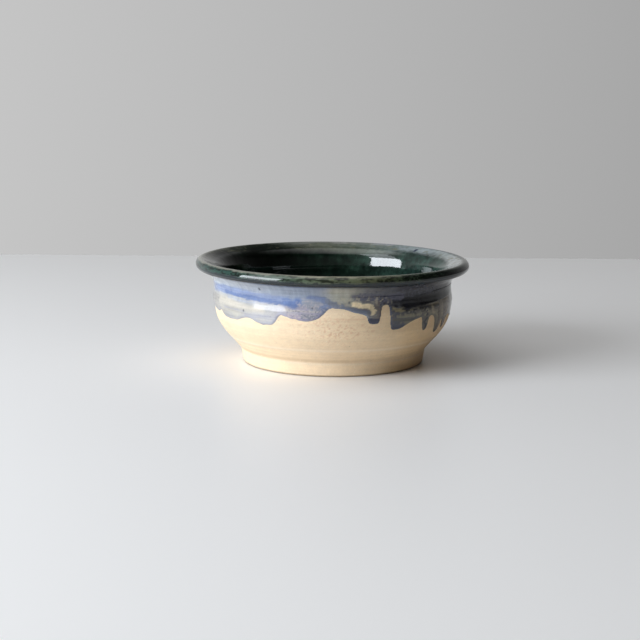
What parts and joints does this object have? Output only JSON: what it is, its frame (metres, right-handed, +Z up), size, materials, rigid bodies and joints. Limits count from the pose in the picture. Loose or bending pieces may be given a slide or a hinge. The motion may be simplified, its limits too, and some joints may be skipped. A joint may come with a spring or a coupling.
{
  "type": "yarn bowl",
  "caption": "Low wheel-thrown stoneware bowl with a round belly, a flared rolled lip and a straight foot, glazed inside and over the shoulder; holds a ball of yarn.",
  "frame": {"origin": "on the table, under the middle of the rim", "axes": "+Z up along the axis that the bowl was turned on; -Y is the front; +X is the bowl's right as seen from the front"},
  "size_m": [0.1699, 0.17, 0.0644],
  "materials": {
    "stoneware": "satin buff stoneware, speckled",
    "green_glaze": "gloss",
    "lip_glaze": "gloss, paler where it breaks over the crest",
    "pale_glaze": "gloss, milky and translucent",
    "cobalt_glaze": "gloss, brushed"
  },
  "bodies": {
    "root": {"stoneware_body": "stoneware", "liner_glaze": "green_glaze", "lip_glaze": "lip_glaze", "shoulder_glaze": "pale_glaze", "cobalt_band": "cobalt_glaze"}
  },
  "joints": []
}
